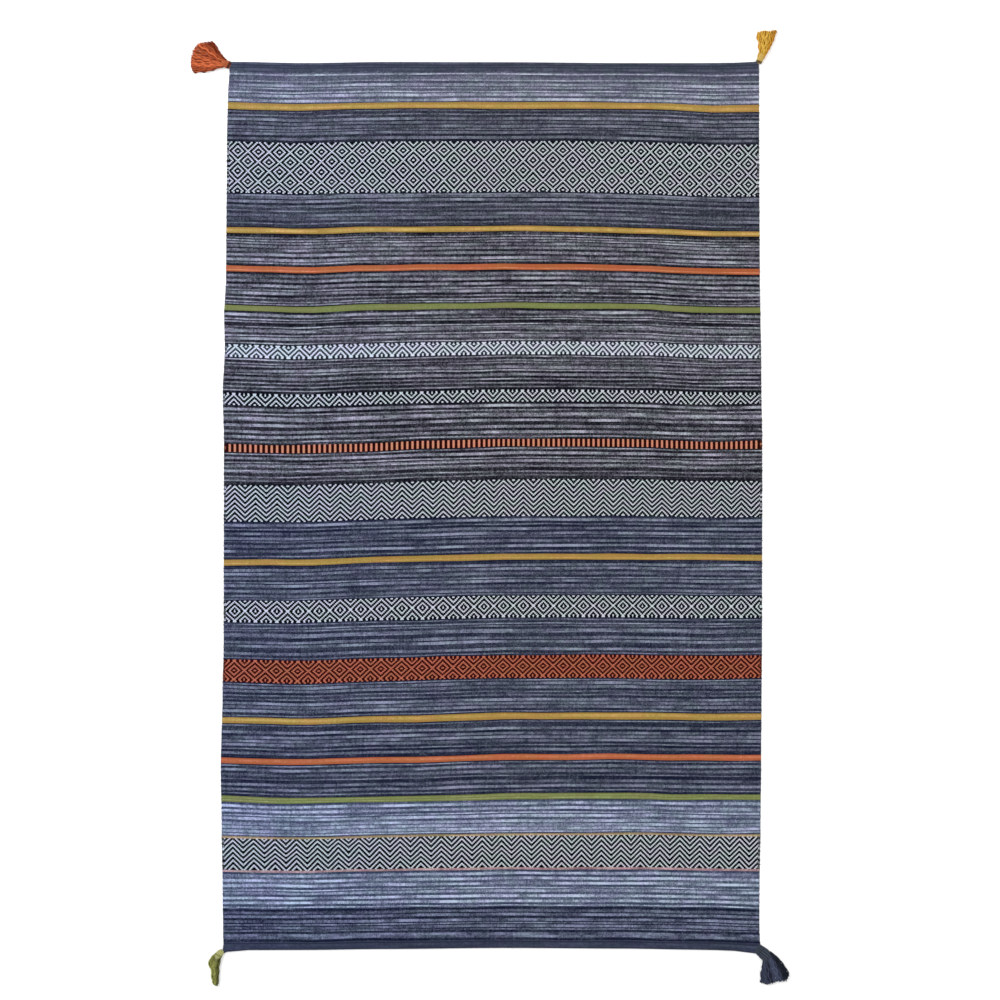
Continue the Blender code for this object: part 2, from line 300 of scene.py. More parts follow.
class Graph:
    """The nodes of one material, added and joined in code."""

    def __init__(self, name: str) -> None:
        """Starts a material that has only its shader.

        Args:
            name: The material's name.
        """
        self.material = bpy.data.materials.new(name)
        self.material.use_nodes = True
        self.tree = self.material.node_tree
        self.shader = self.tree.nodes["Principled BSDF"]

    def feed(self, node: bpy.types.Node, values: object) -> None:
        """Joins a node's sockets to other ones, or sets them to plain values.

        Args:
            node: The node.
            values: What its first sockets get, or what others get by their names or indexes.
        """
        for key, value in values.items() if isinstance(values, dict) else enumerate(values):
            if isinstance(value, Socket):
                self.tree.links.new(value, node.inputs[key])
            else:
                node.inputs[key].default_value = value

    def add(self, kind: str, values: object = (), **settings: object) -> bpy.types.Node:
        """Adds a node.

        Args:
            kind: Its type, without the words that all of them start with.
            values: What its sockets get, as feed takes it.
            settings: Its settings.

        Returns:
            The node.
        """
        node = self.tree.nodes.new("ShaderNode" + kind)
        for name, value in settings.items():
            setattr(node, name, value)
        self.feed(node, values)
        return node

    def math(self, operation: str, *values: object, clamp: bool = False) -> Socket:
        """One step of arithmetic on sockets or numbers, which may be held between 0 and 1."""
        return self.add("Math", values, operation=operation, use_clamp=clamp).outputs[0]

    def plus(self, first: object, second: object) -> Socket:
        """The sum of two sockets or numbers."""
        return self.math("ADD", first, second)

    def minus(self, first: object, second: object) -> Socket:
        """What is left of the first socket or number without the second."""
        return self.math("SUBTRACT", first, second)

    def times(self, first: object, second: object) -> Socket:
        """The product of two sockets or numbers."""
        return self.math("MULTIPLY", first, second)

    def attribute(self, name: str, output: str = "Fac") -> Socket:
        """Reads a value that the mesh holds."""
        return self.add("Attribute", attribute_name=name).outputs[output]

    def uv(self, name: str) -> tuple:
        """Reads the two directions of a UV map, a socket each."""
        parts = self.add("SeparateXYZ", self.add("UVMap", uv_map=name).outputs[:1])
        return parts.outputs[0], parts.outputs[1]

    def noise(self, place: tuple, detail: float = 2.0, roughness: float = 0.5) -> Socket:
        """Noise from 0 to 1 at a place of three parts, with its finer layers and their strength."""
        values = {"Vector": self.add("CombineXYZ", place).outputs[0], "Scale": 1.0}
        return self.add("TexNoise", values | {"Detail": detail, "Roughness": roughness}).outputs["Fac"]

    def blend(self, share: object, first: object, second: object, way: str = "MIX") -> Socket:
        """Mixes two colours by the share that the second one has."""
        values = {0: share, 6: first, 7: second}
        return self.add("Mix", values, data_type="RGBA", blend_type=way).outputs[2]

    def remap(self, value: object, low: object, high: object, to_low: float = 0.0,
              to_high: float = 1.0) -> Socket:
        """Eases a value from one range, low to high, to another, and holds it at the ends."""
        values = (value, low, high, to_low, to_high)
        return self.add("MapRange", values, interpolation_type="SMOOTHSTEP").outputs[0]

    def bump(self, height: Socket, distance: float, strength: float) -> None:
        """Gives the shader a bump of a height in shares of a distance."""
        node = self.add("Bump", {"Strength": strength, "Distance": distance, "Height": height})
        self.feed(self.shader, {"Normal": node.outputs[0]})


def add_object(name: str, data: bpy.types.ID) -> bpy.types.Object:
    """Puts a new object in the scene, at the origin.

    Args:
        name: Its name.
        data: Its mesh, camera or light.

    Returns:
        The object.
    """
    made = bpy.data.objects.new(name, data)
    bpy.context.scene.collection.objects.link(made)
    return made


def add_piece(name: str, points: list, faces: list) -> bpy.types.Object:
    """Makes a smooth mesh object at the origin.

    Args:
        name: The piece's name.
        points: Its points, in metres.
        faces: Its faces, as indexes of points, counter-clockwise from outside.

    Returns:
        The object.
    """
    mesh = bpy.data.meshes.new(name)
    mesh.from_pydata(points, [], faces)
    mesh.shade_smooth()
    return add_object(name, mesh)


def write_values(piece: bpy.types.Object, name: str, domain: str, values: list) -> None:
    """Stores values in a piece's mesh for its finish to read.

    Args:
        piece: The piece.
        name: The values' name.
        domain: POINT or FACE, for whichever the values belong to.
        values: A number or a colour for each of them.
    """
    several = isinstance(values[0], tuple)
    made = piece.data.attributes.new(name, "FLOAT_VECTOR" if several else "FLOAT", domain)
    if several:
        made.data.foreach_set("vector", [part for value in values for part in value])
    else:
        made.data.foreach_set("value", values)


def write_map(piece: bpy.types.Object, name: str, places: list) -> None:
    """Stores a UV map, one place for each corner of each face."""
    made = piece.data.uv_layers.new(name=name)
    made.data.foreach_set("uv", [part for place in places for part in place])


@dataclass(frozen=True)
class Grain:
    """One layer of noise in the cloth.

    Args:
        across: Its turns for each metre across the rug.
        along: Its turns for each pick, or for each step of a strand's own number.
        depth: Where it is cut out of the noise.
        weight: How much it counts.
        detail: How many finer layers it has.
        roughness: How strong those are.
    """

    across: float
    along: float
    depth: float
    weight: float = 1.0
    detail: float = 2.0
    roughness: float = 0.5

    def read(self, graph: Graph, across: object, along: object) -> Socket:
        """The layer at a place on the cloth, from 0 to 1."""
        place = (graph.times(across, self.across), graph.times(along, self.along), self.depth)
        return graph.noise(place, self.detail, self.roughness)


@dataclass(frozen=True)
class WovenFinish:
    """The look of the cloth: heather and figures, the tints of its lots of yarn, a painted cast of light that
    is bluer towards its left side, and its beads.

    Its edge strip has no figure. The range and gain of drift say how far each strand's tone
    shows, and a dot of light yarn lies in the middle of each diamond.
    """

    width: float
    edge_strip: float = 4.5 * MM
    warp_pitch: float = 2.75 * MM
    drift: Grain = Grain(13.0, 7.31, 0.5, 0.5, 6.0, 0.7)
    last_drift: Grain = Grain(13.0, 7.31, 0.5, -0.4, 6.0, 0.7)
    cloud: Grain = Grain(6.0, 0.16, 7.5, 0.28)
    fleck: Grain = Grain(420.0, 1.3, 2.5, 0.95)
    warp: Grain = Grain(260.0, 0.05, 9.5, 0.18, 1.0)
    lot: Grain = Grain(22.0, 0.14, 4.5)
    twist: Grain = Grain(900.0, 3.0, 1.0, 0.6)
    drift_range: tuple = (0.28, 0.72)
    drift_gain: tuple = (0.1, 1.9)
    tone_weight: float = 0.17
    heather_in_figures: float = 0.25
    dot_size: float = 0.24
    dot_gain: float = 0.8
    lot_range: tuple = (0.35, 0.65)
    lot_tints: tuple = ((1.04, 0.975, 1.05, 1.0), (0.96, 1.02, 0.97, 1.0))
    painted_light_share: float = 0.6
    painted_light_tints: tuple = ((0.955, 0.99, 1.13, 1.0), (0.98, 0.975, 1.0, 1.0))
    relief: float = 0.25 * MM
    relief_strength: float = 0.8

    def material(self) -> bpy.types.Material:
        """Makes the material.

        Returns:
            The material, which reads the cloth's weave map and what the mesh holds of its picks.
        """
        graph = Graph("woven_cloth")
        across, pick = graph.uv("weave")
        colour = self.colour(graph, across, pick)
        # The lots' tints are the yarn's own; the second pair is painted light, bluer towards the left side.
        for share, tints in (
            (graph.remap(self.lot.read(graph, across, pick), *self.lot_range), self.lot_tints),
            (graph.remap(across, 0.0, self.painted_light_share * self.width), self.painted_light_tints),
        ):
            colour = graph.blend(1.0, colour, graph.blend(share, *tints), "MULTIPLY")
        graph.feed(graph.shader, {"Base Color": colour, "Roughness": 0.95, "Specular IOR Level": 0.04,
                                  "Sheen Weight": 0.02, "Sheen Roughness": 0.6})
        ends = graph.times(across, math.pi / self.warp_pitch)
        beads = graph.plus(ends, graph.times(graph.math("FLOOR", pick), math.pi / 2))
        beads = graph.math("ABSOLUTE", graph.math("SINE", beads))
        twist = graph.times(self.twist.read(graph, across, pick), self.twist.weight)
        graph.bump(graph.plus(beads, twist), self.relief, self.relief_strength)
        return graph.material

    def colour(self, graph: Graph, across: object, pick: object) -> Socket:
        """The colour of the yarn that shows.

        Args:
            graph: The material's nodes.
            across: The place across the rug, in metres.
            pick: The count of picks down the rug.

        Returns:
            The colour, between the dark and the light yarn of the band.
        """
        share = graph.attribute("light_share")
        contrast = graph.attribute("contrast")
        figure = graph.attribute("figure")
        heather = graph.times(self.heather(graph, across, pick), contrast)
        mixed = graph.math("ADD", heather, share, clamp=True)
        mixed = graph.times(mixed, mixed)
        wave = graph.minus(self.drawn(graph, figure), graph.math("COSINE", graph.times(share, math.pi)))
        wave = graph.plus(graph.times(wave, contrast), graph.times(heather, self.heather_in_figures))
        wave = graph.math("ADD", wave, 0.5, clamp=True)
        # Diamonds, chevrons and bars have neighbouring numbers, with chevrons in the middle
        is_drawn = graph.math("COMPARE", figure, float(Figure.CHEVRONS.value), 1.5)
        from_side = graph.math("MINIMUM", across, graph.minus(self.width, across))
        is_drawn = graph.times(is_drawn, graph.math("GREATER_THAN", from_side, self.edge_strip))
        fac = graph.plus(graph.times(wave, is_drawn), graph.times(mixed, graph.minus(1.0, is_drawn)))
        return graph.blend(fac, graph.attribute("dark", "Color"), graph.attribute("light", "Color"))

    def heather(self, graph: Graph, across: object, pick: object) -> Socket:
        """The heather of light and dark yarn.

        Args:
            graph: The material's nodes.
            across: The place across the rug, in metres.
            pick: The count of picks down the rug.

        Returns:
            How much lighter or darker than its mean the cloth is there.
        """
        layers = [(self.drift, graph.attribute("strand")), (self.last_drift, graph.attribute("before"))]
        layers += [(layer, pick) for layer in (self.cloud, self.fleck, self.warp)]
        parts = [(layer.read(graph, across, along), layer.weight) for layer, along in layers]
        gain = graph.remap(parts[0][0], *self.drift_range, *self.drift_gain)
        total = graph.times(graph.times(graph.attribute("tone"), gain), self.tone_weight)
        for part, weight in parts:
            total = graph.plus(total, graph.times(graph.minus(part, 0.5), weight))
        return total

    def drawn(self, graph: Graph, figure: object) -> Socket:
        """Draws the figures.

        Both the threading and the count run through 2 in one repeat. Diamonds are squares
        within squares, chevrons are peaks one below the other, and bars stand upright.

        Args:
            graph: The material's nodes.
            figure: The number of the band's figure.

        Returns:
            About 1 where the figure's light yarn shows, and -1 where its dark yarn does.
        """
        def fold(value: object) -> Socket:
            """How far a value lies from the nearest even number."""
            return graph.math("ABSOLUTE", graph.math("WRAP", value, 1.0, -1.0))

        def chosen(kind: Figure, value: object) -> Socket:
            """The value in bands that have this figure, and 0 in all others."""
            return graph.times(graph.math("COMPARE", figure, float(kind.value), 0.5), value)

        threading = graph.attribute("threading")
        count = graph.attribute("count")
        upright = fold(threading)
        square = graph.math("MAXIMUM", fold(graph.plus(threading, count)),
                            fold(graph.minus(threading, count)))
        phase = chosen(Figure.DIAMONDS, square)
        phase = graph.plus(phase, chosen(Figure.CHEVRONS, graph.minus(count, upright)))
        phase = graph.plus(phase, chosen(Figure.BARS, upright))
        dot = chosen(Figure.DIAMONDS, graph.remap(square, 0.0, self.dot_size, self.dot_gain, 0.0))
        return graph.plus(dot, graph.math("COSINE", graph.times(phase, 4 * math.pi)))


@dataclass
class Cloth:
    """The woven cloth: its outline, its picks, its mesh and its finish.

    One or two picks are woven from one strand, and each strand has its own number and tone.
    Alternates is how often a dark strand follows a light one, or a light one a dark one. The
    picks wobble, but for the calm ones at each end, and the first and the last of a heather have
    the edge's tone. The bake sizes say where the faces, rims and ends lie in the map for baking.
    """

    width: float = 1200 * MM
    length: float = 1992 * MM
    thick: float = 3.0 * MM
    hem_thick: float = 5.0 * MM
    hem_depth: float = 19.0 * MM
    hem_shoulder: float = 3.0 * MM
    edge_round: float = 3.0 * MM
    edge_height_share: float = 0.55
    under_lift: float = 0.6 * MM
    pull_ease: float = 1.5
    pick_pitch: float = 2.8 * MM
    rib_depth: float = 0.45 * MM
    hem_rib_depth: float = 0.2 * MM
    under_rib_share: float = 0.6
    scallop: float = 0.7 * MM
    ragged: float = 1.6 * MM
    wobble: float = 1.8 * MM
    wobble_turns: tuple = (9.0, 40.0)
    calm_picks: int = 8
    side_lines: tuple = (0, 1 * MM, 3 * MM, 9 * MM)
    middle_columns: int = 25
    strand_numbers: float = 900.0
    strand_picks: tuple = (1, 1, 2, 2, 2)
    strand_tones: tuple = (0.6, 1.4)
    alternates: float = 0.92
    edge_tone: float = -1.7
    bake_face: float = 0.62
    bake_under: float = 0.64
    bake_rims: tuple = ((0.623, 0.627), (0.631, 0.635))
    bake_ends: tuple = ((0.996, 1.0), (0.991, 0.994))
    bake_rows: float = 0.99
    seed: int = 5

    def picks(self) -> list:
        """Lays the picks of each band, evenly between its edges.

        Returns:
            The picks, from the top end down. Neighbours in a heather share a strand.
        """
        draw = random.Random(self.seed)
        upper = TOP_END[3]
        picks = []
        strand = 0.0
        before = 0.0
        tone = 0.0
        left_in_strand = 0
        for band in BANDS:
            number = max(1, round((upper - band.lower) / self.pick_pitch))
            for i in range(number):
                top = mix(upper, band.lower, i / number)
                bottom = mix(upper, band.lower, (i + 1) / number)
                if left_in_strand == 0:
                    before = strand
                    strand = draw.uniform(0, self.strand_numbers)
                    turns = tone > 0 if draw.random() < self.alternates else tone <= 0
                    tone = draw.uniform(*self.strand_tones) * (-1 if turns else 1)
                    left_in_strand = draw.choice(self.strand_picks)
                left_in_strand -= 1
                edge = band.figure is Figure.HEATHER and i in (0, number - 1)
                count = (band.centre - (top + bottom) / 2) / band.half_repeat
                shade = self.edge_tone if edge else tone
                picks.append(Pick(top, bottom, band, strand, before, shade, count))
            upper = band.lower
            left_in_strand = 0
        return picks

    def rise(self, x: float, level: float) -> float:
        """Reads the bow of the weft.

        Args:
            x: The place across the rug.
            level: The level of the weft on the middle line.

        Returns:
            How far it stands above that level at the place.
        """
        def bow(end: list) -> float:
            """How much farther out an end lies here than at its middle."""
            return read_between(END_PLACES, end, x, True) - read_between(END_PLACES, end, END_PLACES[3], True)

        lines = WEFT_LINES[::-1]
        levels = [-BOTTOM_END[3]] + [line.level for line in lines] + [TOP_END[3]]
        rises = [read_between(WEFT_PLACES, line.rises, x) * MM for line in lines]
        return read_between(levels, [-bow(BOTTOM_END)] + rises + [bow(TOP_END)], level)

    def point(self, across: float, level: float) -> tuple:
        """Finds a point of the cloth from above.

        Args:
            across: Its share across the rug.
            level: Its level on the middle line.

        Returns:
            Its place across and along, in metres.
        """
        left = -read_between(SIDE_LEVELS, LEFT_SIDE, level, True)
        right = read_between(SIDE_LEVELS, RIGHT_SIDE, level, True)
        x = mix(left, right, across)
        y = level + self.rise(x, level)
        along = (level + self.length / 2) / self.length
        inside = min(self.from_end(level) / (self.calm_picks * self.pick_pitch), 1.0)
        spot = Vector((x * self.wobble_turns[0], level * self.wobble_turns[1], 0))
        y += self.wobble * inside * noise.noise(spot)
        for pull in PULLS:
            away = math.hypot((across - pull.side) * self.width, (along - pull.end) * self.length)
            weight = max(0.0, 1 - away / pull.reach) ** self.pull_ease
            x += pull.across * weight
            y += pull.along * weight
        return x, y

    def from_end(self, level: float) -> float:
        """How far a level lies in from the nearer end."""
        return max(min(level + BOTTOM_END[3], TOP_END[3] - level), 0.0)

    def height(self, across: float, level: float) -> float:
        """Works out the cloth's height from its thickness, its hems and its round edges.

        Args:
            across: The share across the rug.
            level: The level on the middle line.

        Returns:
            The height of the face there.
        """
        from_side = min(across, 1 - across) * self.width
        from_end = self.from_end(level)
        shoulder = smooth((self.hem_depth + self.hem_shoulder - from_end) / self.hem_shoulder)
        full = mix(self.thick, self.hem_thick, shoulder)
        inside = min(min(from_side, from_end) / self.edge_round, 1.0)
        rounding = math.sqrt(1 - (1 - inside) ** 2)
        return full * mix(self.edge_height_share, 1.0, rounding)

    def columns(self) -> list:
        """Spaces the mesh's lines, which are closer together at the selvedges.

        Returns:
            Their shares across the rug.
        """
        near = [line / self.width for line in self.side_lines]
        inner = [mix(near[-1], 1 - near[-1], i / self.middle_columns) for i in range(1, self.middle_columns)]
        return near + inner + [1 - share for share in reversed(near)]

    def build(self) -> bpy.types.Object:
        """Weaves the sheet: ribbed faces above and below, closed round its rim.

        Returns:
            The cloth.
        """
        picks = self.picks()
        columns = self.columns()
        lines = []
        for pick in picks:
            lines += [(pick.upper, False), ((pick.upper + pick.lower) / 2, True)]
        lines.append((picks[-1].lower, False))
        draw = random.Random(self.seed + 1)
        upper_points = []
        lower_points = []
        for level, crest in lines:
            plain_hem = self.from_end(level) < self.hem_depth
            depth = self.hem_rib_depth if plain_hem else self.rib_depth
            bulge = self.scallop + self.ragged * draw.random() ** 3 if crest else 0.0
            for across in columns:
                x, y = self.point(across, level)
                if across in (columns[0], columns[-1]):
                    x += math.copysign(bulge, x)
                height = self.height(across, level)
                from_rim = min(min(across, 1 - across) * self.width, self.from_end(level))
                lift = self.under_lift * (1 - smooth(from_rim / self.edge_round))
                upper_points.append((x, y, height if crest else height - depth))
                lower_points.append((x, y, lift if crest else lift + depth * self.under_rib_share))
        return self.join(picks, columns, lines, upper_points, lower_points)

    def join(self, picks: list, columns: list, lines: list, upper_points: list,
             lower_points: list) -> bpy.types.Object:
        """Makes the mesh from its two layers of points, with what its finish reads.

        Args:
            picks: The picks, from the top end down.
            columns: Shares across the rug.
            lines: The level of each line of points, and whether it is a crest.
            upper_points: The points of the face, line by line.
            lower_points: The points of the underside, in the same order.

        Returns:
            The cloth.
        """
        wide = len(columns)
        below = len(upper_points)
        last = len(lines) - 1
        deep = [self.bake_rows * (1 - i / last) for i in range(last + 1)]
        faces = []
        owners = []
        bake = []
        for i in range(last):
            high, low = deep[i], deep[i + 1]
            for j in range(wide - 1):
                a, b = i * wide + j, (i + 1) * wide + j
                left, right = (self.bake_face * columns[k] for k in (j, j + 1))
                faces.append((a, b, b + 1, a + 1))
                bake += [(left, high), (left, low), (right, low), (right, high)]
                left, right = (mix(self.bake_under, 1, columns[k]) for k in (j, j + 1))
                faces.append((a + 1 + below, b + 1 + below, b + below, a + below))
                bake += [(right, high), (right, low), (left, low), (left, high)]
                owners += [i // 2, i // 2]
            for side, near, far in ((0, 0, below), (1, below, 0)):
                a, b = i * wide + side * (wide - 1), (i + 1) * wide + side * (wide - 1)
                left, right = self.bake_rims[side]
                faces.append((a + near, a + far, b + far, b + near))
                bake += [(left, high), (right, high), (right, low), (left, low)]
                owners.append(i // 2)
        for j in range(wide - 1):
            left, right = (self.bake_face * columns[k] for k in (j, j + 1))
            for end, near, far in ((0, 0, below), (1, below, 0)):
                a = end * last * wide + j
                low, high = self.bake_ends[end]
                faces.append((a + near, a + 1 + near, a + 1 + far, a + far))
                bake += [(left, low), (right, low), (right, high), (left, high)]
            owners += [0, len(picks) - 1]
        cloth = add_piece("kilim_cloth", upper_points + lower_points, faces)
        weave = [(across * self.width, i / 2) for i in range(len(lines)) for across in columns] * 2
        write_map(cloth, "weave", [weave[index] for face in faces for index in face])
        write_map(cloth, "OFBake", bake)
        repeats = [read_between(THREADING_SHARES, THREADING_REPEATS, across) for across in columns]
        write_values(cloth, "threading", "POINT", [2 * count for count in repeats] * len(lines) * 2)
        woven = [picks[owner] for owner in owners]
        for name in ("dark", "light", "light_share", "contrast"):
            write_values(cloth, name, "FACE", [getattr(pick.band.yarn, name) for pick in woven])
        for name in ("count", "strand", "before", "tone"):
            write_values(cloth, name, "FACE", [getattr(pick, name) for pick in woven])
        write_values(cloth, "figure", "FACE", [float(pick.band.figure.value) for pick in woven])
        return cloth

    def dress(self) -> None:
        cloth = self.build()
        cloth.data.materials.append(WovenFinish(self.width).material())
        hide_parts("rug")
        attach(cloth, "root")
        LOG.info("%s: %d faces", cloth.name, len(cloth.data.polygons))


@dataclass(frozen=True)
class FanRow:
    """A tassel's two sides at one reach, as bearings in degrees from its apex."""

    reach: float
    first: float
    last: float


@dataclass(frozen=True)
class HeadRow:
    """One section of a tassel's wound head.

    Args:
        reach: Its distance from the apex.
        girth: Its width as a share of the tassel's there.
        low: The height of its underside.
        high: The height of its top.
    """

    reach: float
    girth: float
    low: float
    high: float


@dataclass(frozen=True)
class Binding:
    """The thread that is wound round a head: where it starts and stops, and its turns."""

    first: float
    last: float
    turns: int
    colour: tuple
    thick: float = 1.1 * MM


@dataclass
class Strands:
    """A mesh of round strands, gathered one by one, with what their finish reads."""

    sides: int = 4
    points: list = field(default_factory=list)
    faces: list = field(default_factory=list)
    tones: list = field(default_factory=list)
    alongs: list = field(default_factory=list)
    arounds: list = field(default_factory=list)

    def sweep(self, line: list, radii: list, tone: float) -> None:
        """Adds a round strand along a line, closed at both ends.

        Args:
            line: The points of its middle line.
            radii: Its radius at each of them.
            tone: How light it is, from 0 to 1.
        """
        start = len(self.points)
        along = 0.0
        for i, middle in enumerate(line):
            before = line[max(i - 1, 0)]
            after = line[min(i + 1, len(line) - 1)]
            forward = (after - before).normalized()
            aside = Vector((-forward.y, forward.x, 0)).normalized()
            up = forward.cross(aside)
            along += (middle - before).length
            for j in range(self.sides):
                angle = math.tau * (j + 0.5) / self.sides
                spot = middle + (aside * math.cos(angle) + up * math.sin(angle)) * radii[i]
                spot.z = max(spot.z, 0.0)
                self.points.append(spot[:])
                self.tones.append(tone)
                self.alongs.append(along)
                self.arounds.append(angle)
        self.skin(start, len(line) - 1, self.sides)

    def skin(self, start: int, rows: int, sides: int) -> None:
        """Closes rings of points with faces, and their two ends with a cap each.

        Args:
            start: The index of the first ring's first point.
            rows: How many rows of faces lie between the rings.
            sides: How many points a ring has.
        """
        for i in range(rows):
            a, b = start + i * sides, start + (i + 1) * sides
            for j in range(sides):
                k = (j + 1) % sides
                self.faces.append((a + j, a + k, b + k, b + j))
        self.faces.append(tuple(start + j for j in reversed(range(sides))))
        self.faces.append(tuple(start + rows * sides + j for j in range(sides)))

    def piece(self, name: str) -> bpy.types.Object:
        """Makes the strands one object.

        Args:
            name: The piece's name.

        Returns:
            The object, whose mesh holds each point's tone, length and turn.
        """
        made = add_piece(name, self.points, self.faces)
        for kind, values in (("tone", self.tones), ("along", self.alongs), ("around", self.arounds)):
            write_values(made, kind, "POINT", values)
        return made


@dataclass(frozen=True)
class YarnFinish:
    """The look of loose or wound yarn.

    Its shade and its fibres vary by noise, each with its turns for a metre and its weight,
    and its plies turn with the twist, with painted shade in the furrows between them.
    """

    name: str
    dark: tuple
    light: tuple
    apart: float = 90.0
    shade_turns: float = 70.0
    shade_weight: float = 0.4
    fibre_turns: float = 1500.0
    fibre_around: float = 3.0
    fibre_weight: float = 0.2
    twist: float = 5.0 * MM
    plies: float = 2.0
    furrow: float = 0.5
    furrow_painted_shade: float = 0.7
    tones: tuple = (0.1, 1.2)
    relief: float = 0.3 * MM
    relief_strength: float = 0.8

    def material(self) -> bpy.types.Material:
        """Makes the material.

        Returns:
            The material, which reads the strands' tone, length and turn.
        """
        graph = Graph(self.name)
        tone, along, around = (graph.attribute(name) for name in ("tone", "along", "around"))
        apart = graph.times(tone, self.apart)
        shade = graph.noise((graph.times(along, self.shade_turns), apart, 0.0), 3.0)
        fibre = graph.noise((graph.times(along, self.fibre_turns), graph.times(around, self.fibre_around),
                             apart), 1.0)
        turn = graph.plus(graph.times(along, math.tau / self.twist), graph.times(around, self.plies))
        ply = graph.math("ABSOLUTE", graph.math("SINE", turn))
        total = graph.plus(tone, graph.times(shade, self.shade_weight))
        total = graph.plus(total, graph.times(fibre, self.fibre_weight))
        # Painted shade: the yarn is darker in the furrows between its plies.
        total = graph.times(total, graph.remap(ply, 0.0, self.furrow, self.furrow_painted_shade, 1.0))
        colour = graph.blend(graph.remap(total, *self.tones), (*self.dark, 1.0), (*self.light, 1.0))
        graph.feed(graph.shader, {"Base Color": colour, "Roughness": 0.85, "Specular IOR Level": 0.1,
                                  "Sheen Weight": 0.03})
        graph.bump(graph.plus(ply, fibre), self.relief, self.relief_strength)
        return graph.material


@dataclass
class Tassel:
    """One tassel: its wound head on the rug's corner, the thread round it, and its yarns.

    Its yarns fan out from an apex that lies inside the corner, each to its own reach, and wave in locks of
    neighbours.
    The side away from the light and the lower layers are darkened with painted shade.
    """

    name: str
    apex: tuple
    fan: tuple
    reaches: tuple
    head: tuple
    binding: Binding
    yarn_thick: float
    columns: int
    layers: int
    dark: tuple
    light: tuple
    head_dark: tuple
    head_light: tuple
    seed: int
    ridges: int = 14
    ridge_height: float = 0.3 * MM
    ridge_lean: float = 120.0
    ridge_painted_shade: float = 0.45
    around: int = 56
    rows: int = 22
    binding_steps: int = 20
    binding_sunk: float = 0.3
    paler: float = 1.8
    segments: int = 18
    hidden: float = 9 * MM
    root_low: float = 0.8
    root_room: float = 0.6
    rest_share: float = 0.4
    layer_share: float = 0.8
    floor_gap: float = 0.05 * MM
    length_varies: float = 0.018
    column_varies: float = 0.3
    phase_varies: float = 0.5
    drift: float = 0.6
    wave: float = 1.5 * MM
    wave_length: float = 21 * MM
    wave_lift: float = 0.25
    lock: int = 3
    thinned: float = 0.3
    girths: tuple = (0.85, 1.15)
    root_girth: float = 0.5
    root_taper: float = 2.5
    tip_girth: float = 0.7
    under_layer_shade: float = 0.25
    shaded_side: float = 0.85
    shaded_tone: float = 0.2

    def place(self, reach: float, column: float) -> Vector:
        """Finds a place on the floor.

        Args:
            reach: Its distance from the apex.
            column: Its share across the fan.

        Returns:
            The place.
        """
        reaches = [row.reach for row in self.fan]
        first = read_between(reaches, [row.first for row in self.fan], reach)
        last = read_between(reaches, [row.last for row in self.fan], reach)
        bearing = math.radians(mix(first, last, column))
        return Vector((self.apex[0] + reach * math.cos(bearing), self.apex[1] + reach * math.sin(bearing), 0))

    def section(self, reach: float, angle: float, more: float = 0.0) -> Vector:
        """A point on the head's round section.

        Args:
            reach: The section's distance from the apex.
            angle: The turn around it.
            more: How far the point stands off the head.

        Returns:
            The point.
        """
        reaches = [row.reach for row in self.head]
        girth, low, high = (read_between(reaches, [getattr(row, size) for row in self.head], reach, True)
                            for size in ("girth", "low", "high"))
        across = self.place(reach, 1) - self.place(reach, 0)
        spot = (self.place(reach, 0) + self.place(reach, 1)) / 2
        spot += across.normalized() * ((across.length / 2 * girth + more) * math.cos(angle))
        spot.z = max((low + high) / 2 + ((high - low) / 2 + more) * math.sin(angle), 0.0)
        return spot

    def build_head(self) -> bpy.types.Object:
        """Draws the head out from over the corner, with the ridges of its wound yarns and painted shade in
        their grooves.

        Returns:
            The head.
        """
        wound = Strands()
        way = 1 if self.fan[0].last > self.fan[0].first else -1
        for i in range(self.rows + 1):
            reach = mix(self.head[0].reach, self.head[-1].reach, i / self.rows)
            for j in range(self.around):
                angle = math.tau * (j / self.around - 0.25) * way
                ridge = math.cos(self.ridges * angle + self.ridge_lean * reach)
                wound.points.append(self.section(reach, angle, self.ridge_height * ridge)[:])
                # Painted shade: points are darker in the grooves between wound turns and lighter on their
                # crests.
                wound.tones.append(self.ridge_painted_shade + self.ridge_painted_shade * ridge)
                wound.alongs.append(reach)
                wound.arounds.append(angle * self.ridges / 2)
        wound.skin(0, self.rows, self.around)
        return wound.piece(self.name + "_head")

    def build_binding(self) -> bpy.types.Object:
        """Winds the thread round the head, turn beside turn.

        Returns:
            The binding.
        """
        steps = self.binding_steps * self.binding.turns
        line = []
        for i in range(steps + 1):
            reach = mix(self.binding.first, self.binding.last, i / steps)
            angle = math.tau * self.binding.turns * i / steps
            line.append(self.section(reach, angle, self.binding.thick * self.binding_sunk))
        thread = Strands()
        thread.sweep(line, [self.binding.thick / 2] * len(line), 0.5)
        return thread.piece(self.name + "_binding")

    def path(self, column: float, layer: int, phase: float, draw: random.Random) -> list:
        """The line of one yarn, from inside the head to its tip on the floor.

        Args:
            column: Its share across the fan.
            layer: Its layer, from the floor up.
            phase: Where its lock's waves start.
            draw: The source of its small differences.

        Returns:
            The points of its middle line.
        """
        start = self.head[-1].reach - self.hidden
        end = read_evenly(self.reaches, column) * MM * (1 + self.length_varies * draw.uniform(-1, 1))
        low = self.section(start, -math.pi / 2).z
        high = self.section(start, math.pi / 2).z
        root = mix(low, high, (layer + self.root_low) / (self.layers + self.root_room))
        rest = (layer + 0.5) * self.yarn_thick * self.layer_share + self.floor_gap
        phase += draw.uniform(-self.phase_varies, self.phase_varies)
        drift = draw.uniform(-self.drift, self.drift) / self.columns
        points = []
        for i in range(self.segments + 1):
            share = i / self.segments
            reach = mix(start, end, share)
            settled = smooth(share / self.rest_share)
            turn = math.tau * reach / self.wave_length + phase
            spot = self.place(reach, min(max(column + drift * share, 0.0), 1.0))
            forward = (self.place(reach + MM, column) - self.place(reach, column)).normalized()
            spot += Vector((-forward.y, forward.x, 0)) * (self.wave * settled * math.sin(turn))
            spot.z = mix(root, rest + self.wave_lift * self.wave * math.cos(turn), settled)
            points.append(spot)
        return points

